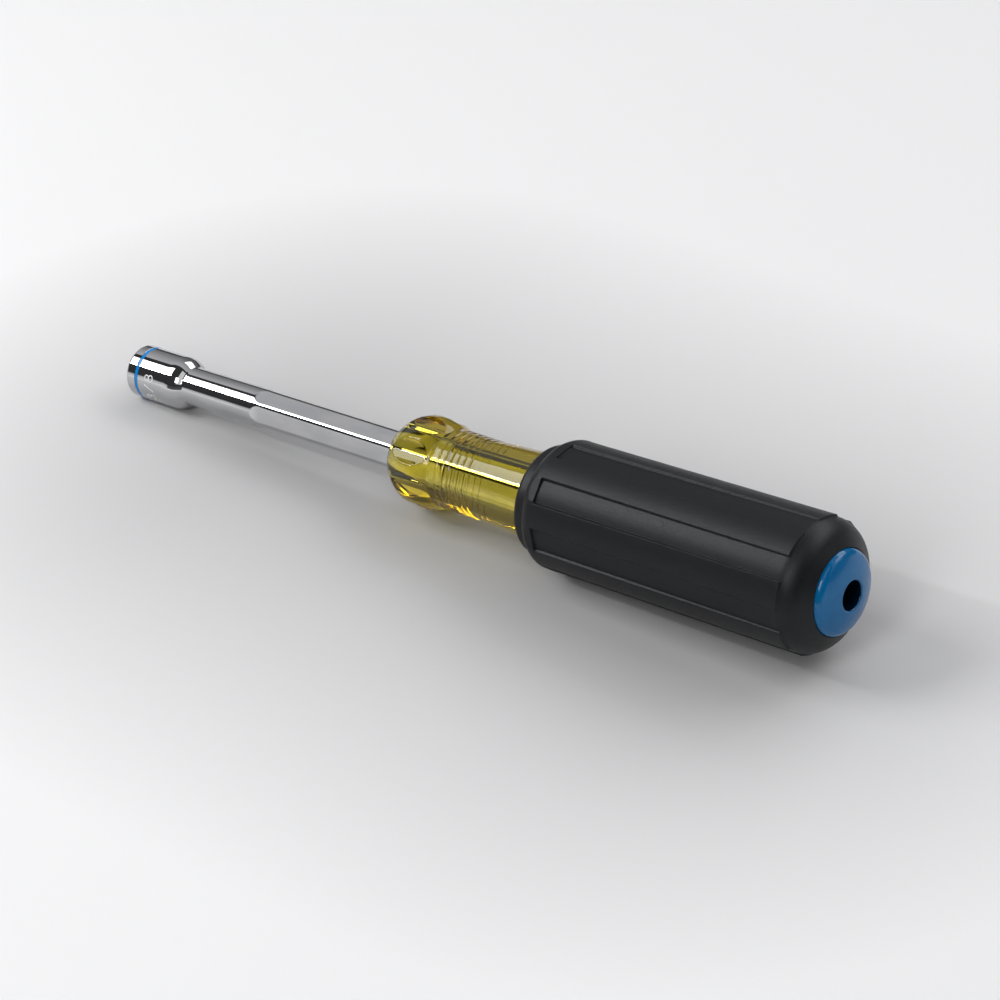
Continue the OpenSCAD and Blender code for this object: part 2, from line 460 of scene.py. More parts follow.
@dataclass(frozen=True)
class EtchedMark(Finish):
    """Frosted floor of an etched figure, lighter than the plate round it."""

    name: str = "etched_mark"
    dark: Triple = (0.72, 0.73, 0.74)
    light: Triple = (0.9, 0.9, 0.91)
    coarse: Layer = Layer(9000.0, 2.0)
    fine: Layer = Layer(9000.0, 2.0, height=0.000008)
    gloss: Ends = ((0.3, 0.5), (0.7, 0.7))
    ends: Pair = (0.35, 0.65)
    metallic: float = 0.3

    @property
    def slot(self) -> str:
        """The slot of the plate that is etched."""
        return "chrome_plate"


@dataclass(frozen=True)
class GlossPlastic(Finish):
    """Gloss moulded plastic or enamel with a faint flow pattern and fine dust in the gloss, and painted
    shade in a hole where hole_r is set.
    """

    coarse: Layer = Layer(160.0, 4.0, strength=0.4, height=0.000024)
    fine: Layer = Layer(1900.0, strength=0.35, height=0.000006)
    gloss: Ends = ((0.3, 0.07), (0.75, 0.15))
    specular: float = 0.36
    # hole_r and the two values below paint shade into the hole: its wall is drawn dark, the shade fading
    # out at the hole's edge.
    hole_r: float = 0.0
    hole_painted_shade: float = 0.06
    hole_painted_shade_edge: float = 1.04

    def colour(self, board: Board, coarse: Socket) -> Socket:
        """Colour by the coarse layer, with painted shade that darkens it within hole_r of the axis, inside
        the hole.

        Args:
            board: The material's board.
            coarse: The coarse layer's noise.

        Returns:
            The colour's socket.
        """
        plain = super().colour(board, coarse)
        if not self.hole_r:
            return plain
        # Painted shade: the colour is darkened inside the hole, where shade falls.
        hole = self.hole_r * MM
        share = board.ramp(board.off_axis(), (hole, self.hole_painted_shade), (hole * self.hole_painted_shade_edge, 1.0))
        return board.add("VectorMath", plain, operation="SCALE", Scale=share).outputs["Vector"]


@dataclass(frozen=True)
class AmberAcetate(Finish):
    """Clear amber cellulose plastic: refracts, and colours light by the depth that it crosses."""

    name: str = "amber_acetate"
    dark: Triple = (0.97, 0.93, 0.5)
    light: Triple = (1.0, 0.98, 0.62)
    coarse: Layer = Layer(120.0, stretch=0.4, height=0.00002)
    fine: Layer = Layer(1500.0, 2.0)
    gloss: Ends = ((0.3, 0.015), (0.75, 0.045))
    index: float = 1.48
    clear: float = 1.0
    depth_colour: Triple = (0.952, 0.868, 0.0)
    depth_density: float = 160.0

    def inside(self, board: Board) -> Socket:
        """Absorption, which grows with the depth that light crosses."""
        return board.add("VolumeAbsorption", Color=(*self.depth_colour, 1.0),
                         Density=self.depth_density).outputs["Volume"]


@dataclass(frozen=True)
class BlackGrip(Finish):
    """Soft black moulding with a fine matt grain and slightly rubbed high spots."""

    name: str = "black_grip"
    dark: Triple = (0.0015, 0.0017, 0.0022)
    light: Triple = (0.003, 0.0033, 0.0042)
    coarse: Layer = Layer(90.0, 5.0, roughness=0.6, strength=0.3, height=0.00015)
    fine: Layer = Layer(1900.0, 4.0, roughness=0.65, strength=0.55, height=0.00005)
    gloss: Ends = ((0.3, 0.52), (0.7, 0.4))
    specular: float = 0.36
    sheen: Triple = (0.94, 0.97, 1.0)


# Sub-assemblies


class SubAssembly:
    """One piece of the tool.

    Attributes:
        node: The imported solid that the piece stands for, if any.
    """

    node: str | None = None

    def build(self) -> Object:
        """Builds the piece's mesh."""
        raise NotImplementedError

    def dress(self, finish: Finish) -> None:
        """Builds the piece, gives it its finish and its body, and hides the solid that it stands for.

        Args:
            finish: The finish.
        """
        made = self.build()
        made.data.materials.append(finish.material())
        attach(made, BODY)
        if self.node is not None:
            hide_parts(self.node)
        LOG.info("%s: %d faces, finish %s", made.name, len(made.data.polygons), finish.name)


@dataclass
class DriveShaft(SubAssembly):
    """One-piece shaft: socket with a hexagonal recess, shoulder, neck, hexagonal shank, tail and bore."""

    node = "drive_shaft"
    socket_r: float = 6.7
    socket_l: float = 13.8
    mouth_round: float = 0.9
    mouth_chamfer: float = 0.5
    recess_af: float = 9.605
    recess_l: float = 12.0
    band_front: float = 3.25
    band_back: float = 4.35
    band_floor_r: float = 6.3
    groove_edge: float = 0.03
    shoulder_round: float = 6.3
    neck_fillet: float = 1.0
    neck_front_r: float = 4.85
    neck_rear_r: float = 4.95
    hex_station: float = 42.3
    hex_af: float = 8.95
    hex_corner_r: float = 4.9
    run_out_r: float = 9.0
    run_out_ends: Pair = (0.6, 0.3)
    hex_end: float = 147.6
    tail_r: float = 4.2
    tail_end: float = 202.08
    bore_r: float = 3.2
    corner_angle: float = 14.5
    edge_blend: float = 0.05

    @property
    def run_out_l(self) -> float:
        """Length of the run-out of a flat."""
        depth = self.neck_rear_r - self.hex_af / 2.0
        return math.sqrt(2.0 * self.run_out_r * depth - depth * depth)

    def angles(self) -> Array:
        """Angles round the shaft, close together at the corners of the hexagon."""
        breaks = (-30.0, -9.0, -4.0, 4.0, 9.0, 30.0)
        return sector_angles(Fold.HEXAGON, self.corner_angle, breaks, (14, 14, 8, 14, 14))

    def flat_radius(self, angle: Array, half_af: Array | float) -> Array:
        """Radius of a hexagon's side: half its size across flats over the cosine from the flat's middle."""
        from_flat = from_nearest(angle, Fold.HEXAGON, self.corner_angle + 30.0)
        return half_af / np.cos(from_flat)

    def hexed(self, profile: Array, angle: Array) -> Array:
        """Cuts the flats into a turned profile.

        The level of a flat rises along a circle of run_out_r in front of its start, and is constant
        behind. The radius is the smooth minimum of the turned radius and the flat.

        Args:
            profile: Rows of station and radius.
            angle: Angles round the shaft.

        Returns:
            Radii of shape (along, round).
        """
        start = self.hex_station + self.run_out_l
        ahead = np.clip(start - profile[:, 0], 0.0, self.run_out_r)
        rise = self.run_out_r - np.sqrt(self.run_out_r ** 2 - ahead ** 2)
        flat_r = self.flat_radius(angle[None, :], (self.hex_af / 2.0 + rise)[:, None])
        return smooth_min(spread(profile, angle), flat_r, self.edge_blend)

    def outside(self) -> Array:
        """Profile of the outside, from the mouth to the end of the hexagon.

        Returns:
            Rows of station and radius.
        """
        out = self.neck_front_r + self.neck_fillet - self.socket_r + self.shoulder_round
        meet = math.degrees(math.acos(out / (self.shoulder_round + self.neck_fillet)))
        neck = self.socket_l + (self.shoulder_round + self.neck_fillet) * math.sin(math.radians(meet))
        rim, edge = self.socket_r, self.groove_edge
        lip = arc((self.mouth_round, rim - self.mouth_round), self.mouth_round, -90.0, 0.0, 14)
        groove = np.array([
            [self.band_front - edge, rim], [self.band_front, rim - edge],
            [self.band_front, self.band_floor_r], [self.band_back, self.band_floor_r],
            [self.band_back, rim - edge], [self.band_back + edge, rim]])
        shoulder = arc((self.socket_l, rim - self.shoulder_round), self.shoulder_round, 0.0, meet, 26)
        fillet = arc((neck, self.neck_front_r + self.neck_fillet), self.neck_fillet,
                     180.0 + meet, 180.0, 14)
        start = self.hex_station + self.run_out_l
        corner = start + self.run_out_l
        ahead, past = self.run_out_ends
        station = np.linspace(self.hex_station - ahead, start + past, 44)
        level = np.interp(station, [neck, self.hex_station, corner],
                          [self.neck_front_r, self.neck_rear_r, self.hex_corner_r])
        run_out = np.stack([station, level], axis=1)
        return chain(
            lip, straight((self.mouth_round, rim), (self.band_front - edge, rim)), groove,
            straight((self.band_back + edge, rim), (self.socket_l, rim), 4), shoulder, fillet,
            straight((neck, self.neck_front_r), tuple(run_out[0]), 6), run_out,
            straight(tuple(run_out[-1]), (corner, self.hex_corner_r), 3),
            straight((corner, self.hex_corner_r), (self.hex_end, self.hex_corner_r), 24))

    def build(self) -> Object:
        """Builds the shaft as one closed surface: outside, tail, bore, recess and chamfer.

        Returns:
            The shaft.
        """
        angle = self.angles()
        outer = self.outside()
        tail = chain(straight((self.hex_end, self.tail_r), (self.tail_end, self.tail_r), 6),
                     straight((self.tail_end, self.bore_r), (self.recess_l, self.bore_r), 12))
        flat_r = self.recess_af / 2.0
        recess = straight((self.recess_l, flat_r), (self.mouth_chamfer, 0.0), 5)
        chamfer = np.linspace(self.mouth_chamfer, 0.0, 7)[1:, None]
        wall = np.concatenate([recess[:, :1], chamfer])
        corner_r = flat_r / math.cos(math.radians(30.0))
        cone = flat_r + (corner_r - flat_r) * (1.0 - wall / self.mouth_chamfer)
        wall_r = np.maximum(self.flat_radius(angle[None, :], flat_r), cone)
        profile = np.concatenate([outer, tail, np.repeat(wall, 2, axis=1)])
        radius = np.concatenate([self.hexed(outer, angle), spread(tail, angle), wall_r])
        return piece("drive_shaft_plate", [Skin.turned(profile, angle, radius)])


@dataclass
class SizeMark(SubAssembly):
    """Etched size figures that read round the socket, with their tops towards the mouth."""

    shaft: DriveShaft
    middle: float = 8.3
    height: float = 2.7
    width: float = 1.7
    first_angle: float = 199.0
    pitch_angle: float = 22.8
    stroke: float = 0.34
    depth: float = 0.06
    lift: float = 0.006

    def ring(self, centre: Pair, radii: Pair, start: float, end: float) -> Array:
        """Part of an ellipse in a figure's unit box, as rows of across and up."""
        turn = np.radians(np.linspace(start, end, 40))
        return np.stack([centre[0] + radii[0] * np.cos(turn), centre[1] + radii[1] * np.sin(turn)], axis=1)

    def figures(self) -> list[list[Array]]:
        """Centre lines of the three figures in unit boxes from 0 to 1.

        Returns:
            One list of strokes per figure.
        """
        three = [self.ring((0.45, 0.75), (0.4, 0.25), 160.0, -90.0),
                 self.ring((0.45, 0.26), (0.46, 0.26), 90.0, -160.0)]
        slash = [np.linspace((0.08, -0.05), (0.92, 1.05), 20)]
        eight = [self.ring((0.5, 0.75), (0.38, 0.25), 0.0, 360.0),
                 self.ring((0.5, 0.25), (0.48, 0.26), 0.0, 360.0)]
        return [three, slash, eight]

    def strip(self, line: Array, angle: float) -> Skin:
        """Sweeps a flat section along a stroke and wraps it round the socket.

        Across runs round the socket against the angle, up runs towards the mouth.

        Args:
            line: Rows of across and up in the unit box.
            angle: Angle of the figure's middle.

        Returns:
            A closed strip.
        """
        flat = (line - 0.5) * np.array([self.width, self.height])
        along = np.gradient(flat, axis=0)
        along /= np.linalg.norm(along, axis=1, keepdims=True)
        side = np.stack([-along[:, 1], along[:, 0]], axis=1)
        reach = self.stroke / 2.0 * np.array([-1.0, 1.0, 1.0, -1.0])
        level = self.shaft.socket_r + np.array([self.lift, self.lift, -self.depth, -self.depth])
        place = flat[:, None, :] + side[:, None, :] * reach[None, :, None]
        turn = np.radians(angle) - place[..., 0] / self.shaft.socket_r
        station = self.middle - place[..., 1]
        return Skin(np.stack([station, level * np.cos(turn), level * np.sin(turn)], axis=2), Closing.CAPPED)

    def build(self) -> Object:
        """Builds the figures one beside the other round the socket.

        Returns:
            The mark.
        """
        angles = self.first_angle - self.pitch_angle * np.arange(3)
        skins = [self.strip(line, angle) for angle, lines in zip(angles, self.figures()) for line in lines]
        return piece("size_mark", skins, sharp=30.0)


@dataclass
class ColourBand(SubAssembly):
    """Blue ring in the socket's groove, with softly rounded edges."""

    node = "colour_band"
    shaft: DriveShaft
    gap: float = 0.04
    drop: float = 0.01
    edge: float = 0.12

    def build(self) -> Object:
        """Carries a rectangle with two rounded corners round the axis.

        Returns:
            The ring.
        """
        front, back = self.shaft.band_front + self.gap, self.shaft.band_back - self.gap
        inner_r, round_r = self.shaft.band_floor_r + self.gap, self.shaft.socket_r - self.drop - self.edge
        profile = chain(
            arc((front + self.edge, round_r), self.edge, -90.0, 0.0, 8),
            arc((back - self.edge, round_r), self.edge, 0.0, 90.0, 8),
            np.array([[back, inner_r], [front, inner_r]]))
        return piece("colour_band_ring", [Skin.turned(profile, np.arange(0.0, 360.0, 1.5))])


@dataclass
class HandleCore(SubAssembly):
    """Clear core: nose face, fluted ball, beaded waist, flare and the straight part under the grip."""

    node = "handle_core"
    shaft: DriveShaft
    nose_station: float = 89.6
    nose_face_r: float = 5.8
    nose_edge: float = 0.35
    nose_lip: Pair = (0.04, 0.1)
    ball_station: float = 99.298
    ball_r: float = 11.3
    ball_ends: Pair = (1.6, 1.4)
    flute_depth: float = 1.27
    flute_r: float = 6.5
    flute_blend: float = 0.1
    flute_reach: float = 6.0
    waist_r: float = 9.5
    waist_gap: float = 0.35
    flare_station: float = 117.3
    flare_end: float = 137.4
    core_r: float = 10.55
    core_end: float = 214.12
    bead_first: float = 107.62
    bead_pitch: float = 1.88
    bead_heights: tuple[float, ...] = (0.16, 0.16, 0.16, 0.1, 0.1, 0.1)
    bead_half: float = 0.36
    bead_step: float = 0.11
    spigot_r: float = 6.0
    spigot_front: float = 202.1
    overlap: float = 0.03

    def angles(self) -> Array:
        """Angles round the core, close together across the flutes."""
        return sector_angles(Fold.GRIP, 0.0, (-22.5, -17.0, 17.0, 22.5), (4, 40, 4))

    def flute_radius(self, angle: Array) -> Array:
        """Distance from the axis to a round cutter whose axis lies parallel outside the ball.

        Args:
            angle: Angles round the core.

        Returns:
            The near side of the cutter at each angle, and twice the ball's radius beside it.
        """
        off = from_nearest(angle, Fold.GRIP)
        reach = self.ball_r + self.flute_r - self.flute_depth
        inside = np.maximum(self.flute_r ** 2 - (reach * np.sin(off)) ** 2, 0.0)
        return np.where(inside > 0.0, reach * np.cos(off) - np.sqrt(inside), 2.0 * self.ball_r)

    def bead_rise(self, station: Array) -> Array:
        """Height of the beads: a raised cosine over each bead's width.

        Args:
            station: Stations along the waist.

        Returns:
            The height at each station.
        """
        centres = self.bead_first + self.bead_pitch * np.arange(len(self.bead_heights))
        off = np.clip(np.abs(station[:, None] - centres[None, :]) / self.bead_half, 0.0, 1.0)
        return (0.5 * (1.0 + np.cos(np.pi * off)) * np.asarray(self.bead_heights)).sum(axis=1)

    def outside(self) -> Array:
        """Profile of the outside, from the nose face to the rear end.

        Returns:
            Rows of station and radius.
        """
        meet = math.degrees(math.asin((self.nose_station - self.ball_station) / self.ball_r))
        join = math.degrees(math.acos(self.waist_r / self.ball_r))
        ball = arc((self.ball_station, 0.0), self.ball_r,
                   meet + self.ball_ends[0], join - self.ball_ends[1], 64)
        waist_start = self.ball_station + self.ball_r * math.sin(math.radians(join)) + self.waist_gap
        station = np.arange(waist_start, self.flare_station, self.bead_step)
        waist = np.stack([station, self.waist_r + self.bead_rise(station)], axis=1)
        nose = np.array([[self.nose_station, self.nose_face_r - self.nose_edge],
                         [self.nose_station + self.nose_lip[0], self.nose_face_r - self.nose_lip[1]]])
        return chain(
            nose, ball, waist,
            straight((self.flare_station, self.waist_r), (self.flare_end, self.core_r), 10),
            straight((self.flare_end, self.core_r), (self.core_end, self.core_r), 12))

    def build(self) -> Object:
        """Builds the core as one closed surface whose bore sits in contact with the shaft.

        Returns:
            The core.
        """
        angle = self.angles()
        outer = self.outside()
        turned = spread(outer, angle)
        fluted = smooth_min(turned, self.flute_radius(angle)[None, :], self.flute_blend)
        on_ball = (outer[:, 0] < self.ball_station + self.flute_reach)[:, None]
        outer_r = np.where(on_ball, fluted, turned)
        hold = straight((self.shaft.hex_end, self.shaft.hex_corner_r),
                        (self.nose_station, self.shaft.hex_corner_r), 12)
        hold_r = self.shaft.hexed(hold, angle) - self.overlap
        spigot_r, tail_r = self.spigot_r - self.overlap, self.shaft.tail_r - self.overlap
        back = chain(
            np.array([[self.core_end, spigot_r]]),
            straight((self.spigot_front, spigot_r), (self.spigot_front, tail_r)),
            straight((self.spigot_front, tail_r), (self.shaft.hex_end, tail_r), 6))
        profile = np.concatenate([outer, back, hold])
        radius = np.concatenate([outer_r, spread(back, angle), hold_r])
        return piece("handle_core_amber", [Skin.turned(profile, angle, radius)])


@dataclass
class CushionGrip(SubAssembly):
    """Black sleeve: rim, rounded nose, collar, ribs with grooves between them, and the rear dome."""

    node = "cushion_grip"
    core: HandleCore
    rim_station: float = 136.0
    rim_centre_r: float = 11.7
    rim_r: float = 1.4
    rim_start: float = -142.0
    rim_inside: float = 0.8
    nose_station: float = 141.4
    nose_round: float = 4.0
    collar_r: float = 15.5
    groove_station: float = 142.0
    rib_rear_r: float = 15.89
    front_depth: float = 0.7
    rear_depth: float = 0.45
    rib_end: float = 211.38
    rib_foot: float = 211.78
    rib_soft: float = 0.05
    floor_half: float = 2.66
    lean: float = 0.4
    edge_round: float = 0.08
    row_gap: float = 0.1
    dome_station: float = 210.58
    dome_round: float = 6.0
    dome_fall: float = 58.0
    foot_turns: Pair = (1.0, 2.5)
    lip_r: float = 9.92
    lip_round: float = 0.25
    end_gap: float = 0.02

    def angles(self) -> Array:
        """Angles round the grip, close together on the walls of the grooves."""
        return sector_angles(Fold.GRIP, 0.0, (-22.5, -12.4, -9.0, 9.0, 12.4, 22.5), (7, 18, 7, 18, 7))

    def depth(self, station: Array) -> Array:
        """Depth of the grooves, which falls evenly towards the rear."""
        ends = (self.groove_station, self.dome_station)
        return np.interp(station, ends, (self.front_depth, self.rear_depth))

    def groove_share(self, angle: Array, station: Array) -> Array:
        """Share of a groove at each point: 1 on its floor, 0 on the ribs, a leaning wall between.

        The floor keeps its width along the grip, and the walls keep their slope. The distance from the
        middle of the groove is measured round the floor.

        Args:
            angle: Angles round the grip.
            station: Stations along it.

        Returns:
            Shares of shape (along, round).
        """
        level = (self.rib_level(station) - self.depth(station))[:, None]
        off = np.abs(from_nearest(angle, Fold.GRIP))[None, :] * level
        wide = self.lean * (self.depth(station) / self.front_depth)[:, None]
        low, high = self.floor_half - self.edge_round, self.floor_half + wide + self.edge_round
        return 1.0 - smooth_step(low, high, off)

    def rib_level(self, station: Array | float) -> Array | float:
        """Radius of the ribs, which widens evenly towards the rear."""
        ends = (self.groove_station, self.rib_end)
        return np.interp(station, ends, (self.collar_r, self.rib_rear_r))

    def front(self) -> Array:
        """Profile of the rim, the short cylinder behind it and the nose.

        Returns:
            Rows of station and radius.
        """
        outer = self.rim_centre_r + self.rim_r
        centre_r = self.collar_r - self.nose_round
        start = -math.degrees(math.acos((outer - centre_r) / self.nose_round))
        rim = arc((self.rim_station, self.rim_centre_r), self.rim_r, self.rim_start, 0.0, 26)
        nose = arc((self.nose_station, centre_r), self.nose_round, start, 0.0, 26)
        return chain(rim, straight(tuple(rim[-1]), tuple(nose[0]), 2, guard=0.08), nose)

    def body(self) -> tuple[Array, Array]:
        """Stations of the ribbed part and the radius of its groove level.

        Returns:
            Rows of station and groove radius, and the stations' share of rib height before the groove.
        """
        gap, foot = self.row_gap, self.groove_station + self.lean
        front_wall = np.linspace(self.groove_station - gap, foot + gap, 14)
        floor = np.linspace(foot + 3.0 * gap, self.dome_station - gap, 22)
        top = math.degrees(math.asin((self.rib_foot - self.dome_station) / self.dome_round))
        centre = (self.dome_station, self.rib_level(self.dome_station) - self.rear_depth - self.dome_round)
        dome = [arc(centre, self.dome_round, 0.0, top + self.foot_turns[0], 19),
                arc(centre, self.dome_round, top + self.foot_turns[1], self.dome_fall, 21)]
        station = np.concatenate([front_wall, floor])
        flat = np.stack([station, self.rib_level(station) - self.depth(station)], axis=1)
        points = np.concatenate([flat, *dome])
        share = 1.0 - smooth_step(self.rib_end - self.rib_soft, self.rib_foot, points[:, 0])
        return points, share

    def build(self) -> Object:
        """Builds the grip as one closed surface.

        On the ribbed part the radius runs from the groove level to the rib level by the share of rib at
        each point: 1 less the groove's share, and nothing past the end of the ribs. In front of the
        grooves it is no more than the collar's flats allow.

        Returns:
            The grip.
        """
        angle = self.angles()
        front = self.front()
        body, share = self.body()
        opened = smooth_step(self.groove_station, self.groove_station + self.lean, body[:, 0])
        rib = (1.0 - opened[:, None] * self.groove_share(angle, body[:, 0])) * share[:, None]
        lift = (self.rib_level(body[:, 0]) - body[:, 1])[:, None]
        body_r = body[:, 1][:, None] + lift * rib
        core = self.core
        inside_r, mouth = core.core_r - core.overlap, self.rim_station - self.rim_inside
        rear = chain(
            self.lip(body[-1]), np.array([[core.core_end, self.lip_r]]),
            straight((core.core_end - self.end_gap, inside_r), (core.flare_end, inside_r), 8),
            straight((core.flare_end, inside_r), (mouth, self.flare_radius(mouth) - core.overlap), 3))
        profile = np.concatenate([front, body, rear])
        radius = np.concatenate([spread(front, angle), body_r, spread(rear, angle)])
        on_collar = (profile[:, 0] < self.groove_station + self.lean)[:, None]
        radius = np.where(on_collar, np.minimum(radius, self.collar_flat(angle)[None, :]), radius)
        return piece("cushion_grip_sleeve", [Skin.turned(profile, angle, radius)], sharp=50.0)

    def collar_flat(self, angle: Array) -> Array:
        """Radius of the collar's flats: a chord as wide as a groove's floor, its level over the cosine."""
        level = math.sqrt(self.collar_r ** 2 - self.floor_half ** 2)
        return level / np.cos(from_nearest(angle, Fold.GRIP))

    def lip(self, start: Array) -> Array:
        """Straight fall of the dome from its arc to a small rounding at the cap.

        Args:
            start: Station and radius of the arc's last point.

        Returns:
            Rows of station and radius.
        """
        fall = math.radians(self.dome_fall)
        centre_r = self.lip_r + self.lip_round
        drop = (start[1] - centre_r) * math.cos(fall) - self.lip_round
        station = start[0] + drop / math.sin(fall)
        rounding = arc((station, centre_r), self.lip_round, self.dome_fall, 180.0, 10)
        return chain(straight(tuple(start), tuple(rounding[0]), 4)[1:], rounding)

    def flare_radius(self, station: float) -> float:
        """Radius of the core's flare at a station."""
        core = self.core
        return float(np.interp(station, [core.flare_station, core.flare_end], [core.waist_r, core.core_r]))


@dataclass
class EndCap(SubAssembly):
    """Domed blue cap with a rounded rim, a hole in line with the bore and a spigot in the core."""

    node = "end_cap"
    core: HandleCore
    hole_r: float = 3.4
    hole_round: float = 0.42
    spigot_gap: float = 0.02
    seat_gap: float = 0.04
    cap_r: float = 9.9
    cap_round: float = 1.9
    crown_r: float = 23.0
    cap_end: float = 220.46

    def build(self) -> Object:
        """Carries the cap's profile round the axis: spigot, wall, rim, crown, hole edge and hole.

        Returns:
            The cap.
        """
        spigot, spigot_r = self.core.spigot_front + self.spigot_gap, self.core.spigot_r
        seat = self.core.core_end + self.seat_gap
        crown = self.cap_end - self.crown_r
        rim_r = self.cap_r - self.cap_round
        meet = math.degrees(math.acos(rim_r / (self.crown_r - self.cap_round)))
        rim = crown + (self.crown_r - self.cap_round) * math.sin(math.radians(meet))
        edge_r = self.hole_r + self.hole_round
        inner = self.crown_r - self.hole_round
        lip = math.degrees(math.acos(edge_r / inner))
        lip_station = crown + inner * math.sin(math.radians(lip))
        profile = chain(
            straight((spigot, spigot_r), (seat, spigot_r), 2),
            straight((seat, spigot_r), (seat, self.cap_r)),
            straight((seat, self.cap_r), (rim, self.cap_r), 2),
            arc((rim, rim_r), self.cap_round, 0.0, meet, 26),
            arc((crown, 0.0), self.crown_r, meet, lip, 18),
            arc((lip_station, edge_r), self.hole_round, lip, 180.0, 14),
            straight((lip_station, self.hole_r), (spigot, self.hole_r), 3))
        return piece("end_cap_dome", [Skin.turned(profile, np.arange(0.0, 360.0, 2.0))])


# Studio


@dataclass(frozen=True)
class Softbox:
    """One rectangular lamp in the tool's frame, with its width along X and its face towards the axis."""

    name: str
    place: Triple
    width: float
    height: float
    radiance: float

    def add(self) -> None:
        """Adds the lamp: its power is pi times its area times its radiance."""
        lamp = bpy.data.lights.new(self.name, "AREA")
        lamp.shape = "RECTANGLE"
        lamp.size, lamp.size_y = self.width * MM, self.height * MM
        lamp.energy = math.pi * lamp.size * lamp.size_y * self.radiance
        made = bpy.data.objects.new(self.name, lamp)
        out = Vector((0.0, *self.place[1:])).normalized()
        along = Vector((1.0, 0.0, 0.0))
        turn = Matrix((along, out.cross(along), out)).transposed()
        made.matrix_world = Matrix.Translation(Vector(self.place) * MM) @ turn.to_4x4()
        made.visible_camera = False
        bpy.context.scene.collection.objects.link(made)


@dataclass
class Studio:
    """Pale round floor with a low raised edge and a painted shadow round the tool, soft lamps, a dim room
    and the camera.
    """

    shaft: DriveShaft
    grip: CushionGrip
    floor_r: float = 1900.0
    floor_flat_r: float = 1100.0
    floor_rise: float = 420.0
    floor_middle: Pair = (110.0, 0.0)
    first_rings: Pair = (0.01, 60.0)
    tilt_r: float = 900.0
    rest_gap: float = 0.02
    floor_colour: Triple = (0.84, 0.84, 0.845)
    edge_colour: Triple = (0.28, 0.28, 0.29)
    # Painted shadow on the floor: the colour and reach of the darkening close to the tool, and half its
    # length along X.
    painted_shadow_colour: Triple = (0.47, 0.47, 0.475)
    painted_shadow_r: Pair = (8.0, 130.0)
    painted_shadow_half: float = 60.0
    pale_r: float = 400.0
    grey_r: float = 800.0
    room_turn: float = math.radians(100.0)
    room_levels: tuple[Pair, ...] = ((0.0, 0.05), (0.03, 0.7), (0.27, 0.55), (0.7, 0.2))
    room_blue: float = 1.03
    lens: float = 122.4
    sensor: float = 36.0
    clip: Pair = (10.0, 20000.0)
    camera_place: Triple = (603.548, -471.998, 410.301)
    camera_right: Triple = (0.7535862, 0.63925054, -0.15318809)
    camera_down: Triple = (0.24324082, -0.48767191, -0.83845692)
    lamps: tuple[Softbox, ...] = (
        Softbox("key_left", (-540.0, -276.9, 750.5), 700.0, 421.0, 5.0),
        Softbox("strip_left", (-540.0, -475.9, 643.1), 700.0, 42.0, 28.0),
        Softbox("low_front", (-700.0, -890.0, 95.0), 700.0, 190.0, 0.65),
        Softbox("key_right", (345.0, -672.0, 590.0), 240.0, 360.0, 6.5),
        Softbox("wall_right", (575.0, -450.4, 720.8), 450.0, 1147.0, 0.9),
        Softbox("back_right", (700.0, 500.0, 600.0), 500.0, 400.0, 2.6),
        Softbox("back_top", (250.0, 850.0, 750.0), 900.0, 500.0, 2.6),
    )

    def floor_points(self) -> Array:
        """Points of the floor: a disc whose edge curves up, tilted to touch the socket and the collar.

        The height rises as the square of the distance past the flat part.

        Returns:
            Array of shape (rings, round, 3), in millimetres.
        """
        pole, first = self.first_rings
        ring = np.concatenate([[pole], np.linspace(first, self.floor_flat_r, 8),
                               np.linspace(self.floor_flat_r, self.floor_r, 30)[1:]])[:, None]
        turn = np.radians(np.arange(0.0, 360.0, 3.0))[None, :]
        past = np.clip((ring - self.floor_flat_r) / (self.floor_r - self.floor_flat_r), 0.0, 1.0)
        x = self.floor_middle[0] + ring * np.cos(turn)
        y = self.floor_middle[1] + ring * np.sin(turn)
        front_x, front_z = self.shaft.socket_l, -self.shaft.socket_r
        rear_x, rear_z = self.grip.groove_station + self.grip.lean / 2.0, -self.grip.collar_r
        slope = (rear_z - front_z) / (rear_x - front_x)
        tilted = front_z - self.rest_gap + slope * (x - front_x)
        level = front_z + slope * (self.floor_middle[0] - front_x)
        z = np.where(ring < self.tilt_r, tilted, level) + self.floor_rise * past ** 2
        return np.stack([x, y, z], axis=2)

    def floor_material(self) -> Material:
        """Builds the floor's paper: pale, with a painted shadow that darkens it close to the tool, and grey
        far away.

        The painted shadow's distance from the tool is measured from a line along X, which reaches its half
        length each way from the middle.

        Returns:
            The material.
        """
        material = bpy.data.materials.new("pale_floor")
        board = Board(material)
        middle = (self.floor_middle[0] * MM, self.floor_middle[1] * MM, 0.0)
        centred = board.add("VectorMath", board.place(), middle, operation="SUBTRACT").outputs["Vector"]
        far = board.add("VectorMath", centred, operation="LENGTH").outputs["Value"]
        paper = board.tint(far, self.floor_colour, self.edge_colour, (self.pale_r * MM, self.grey_r * MM))
        # Painted shadow: the paper is darkened close to the tool, where its shadow falls.
        apart = board.add("SeparateXYZ", centred).outputs
        along = board.add("Math", apart["X"], operation="ABSOLUTE").outputs[0]
        past_end = board.add("Math", along, self.painted_shadow_half * MM, operation="SUBTRACT").outputs[0]
        beyond = board.add("Math", past_end, 0.0, operation="MAXIMUM").outputs[0]
        beside = board.add("CombineXYZ", beyond, apart["Y"]).outputs["Vector"]
        near = board.add("VectorMath", beside, operation="LENGTH").outputs["Value"]
        share = tuple(dark / pale for dark, pale in zip(self.painted_shadow_colour, self.floor_colour))
        painted_shadow = board.tint(near, share, (1.0, 1.0, 1.0), tuple(reach * MM for reach in self.painted_shadow_r))
        colour = board.add("VectorMath", paper, painted_shadow, operation="MULTIPLY").outputs["Vector"]
        board.finish(board.add("BsdfDiffuse", colour).outputs["BSDF"])
        return material

    def add_floor(self) -> None:
        """Adds the floor and gives it its paper."""
        made = piece("studio_floor", [Skin(self.floor_points(), Closing.ROUND_ONLY)], sharp=80.0)
        made.data.materials.append(self.floor_material())

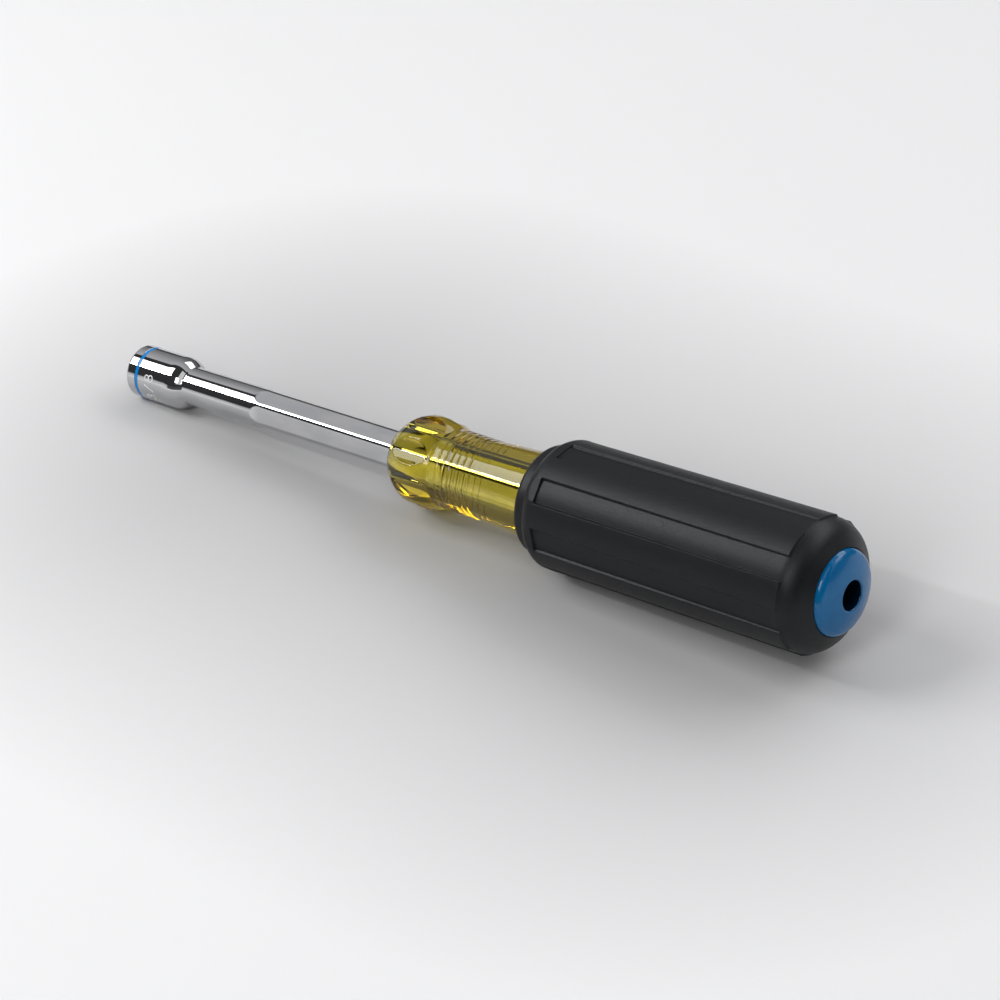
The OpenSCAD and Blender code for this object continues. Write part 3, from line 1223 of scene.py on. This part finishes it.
    def add_room(self) -> None:
        """Adds the dim room: dark in front, and behind light above and darker towards the horizon."""
        world = bpy.data.worlds.new("studio_room")
        bpy.context.scene.world = world
        board = Board(world)
        way = board.add("TexCoord").outputs["Generated"]
        back = (0.0, math.sin(self.room_turn), math.cos(self.room_turn))
        behind = board.add("VectorMath", way, back, operation="DOT_PRODUCT").outputs["Value"]
        ramp = board.add("ValToRGB", behind)
        for place, _ in self.room_levels[1:-1]:
            ramp.color_ramp.elements.new(place)
        for element, (place, level) in zip(ramp.color_ramp.elements, self.room_levels):
            element.position, element.color = place, (level, level, level * self.room_blue, 1.0)
        light = board.add("Background", Color=ramp.outputs["Color"], Strength=1.0)
        board.add("OutputWorld", Surface=light.outputs["Background"])

    def add_camera(self) -> None:
        """Adds the camera at the fitted place and turn."""
        data = bpy.data.cameras.new("camera")
        data.sensor_width, data.lens = self.sensor, self.lens
        data.clip_start, data.clip_end = (reach * MM for reach in self.clip)
        made = bpy.data.objects.new("camera", data)
        right, down = Vector(self.camera_right), Vector(self.camera_down)
        turn = Matrix((right, -down, down.cross(right))).transposed()
        made.matrix_world = Matrix.Translation(Vector(self.camera_place) * MM) @ turn.to_4x4()
        bpy.context.scene.collection.objects.link(made)
        bpy.context.scene.camera = made

    def build(self) -> None:
        """Adds floor, lamps, room and camera, and sets the plain view transform."""
        self.add_camera()
        self.add_floor()
        for lamp in self.lamps:
            lamp.add()
        self.add_room()
        bpy.context.scene.view_settings.view_transform = "Standard"
        LOG.info("studio: %d lamps", len(self.lamps))


def main() -> None:
    """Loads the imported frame, builds and dresses every piece, and adds the studio."""
    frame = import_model()
    logging.basicConfig(level=logging.INFO, format="%(name)s %(message)s")
    LOG.info("frame: %d nodes", len(frame["nodes"]))
    shaft = DriveShaft()
    core = HandleCore(shaft)
    grip = CushionGrip(core)
    shaft.dress(ChromePlate())
    SizeMark(shaft).dress(EtchedMark())
    ColourBand(shaft).dress(GlossPlastic("blue_enamel", (0.0, 0.19, 0.56), (0.005, 0.23, 0.64)))
    core.dress(AmberAcetate())
    grip.dress(BlackGrip())
    # The cap's finish paints shade into its hole, within 3.42 mm of the axis.
    EndCap(core).dress(GlossPlastic("blue_cap", (0.0, 0.105, 0.28), (0.001, 0.135, 0.34), hole_r=3.42))
    Studio(shaft, grip).build()


if __name__ == "__main__":
    main()
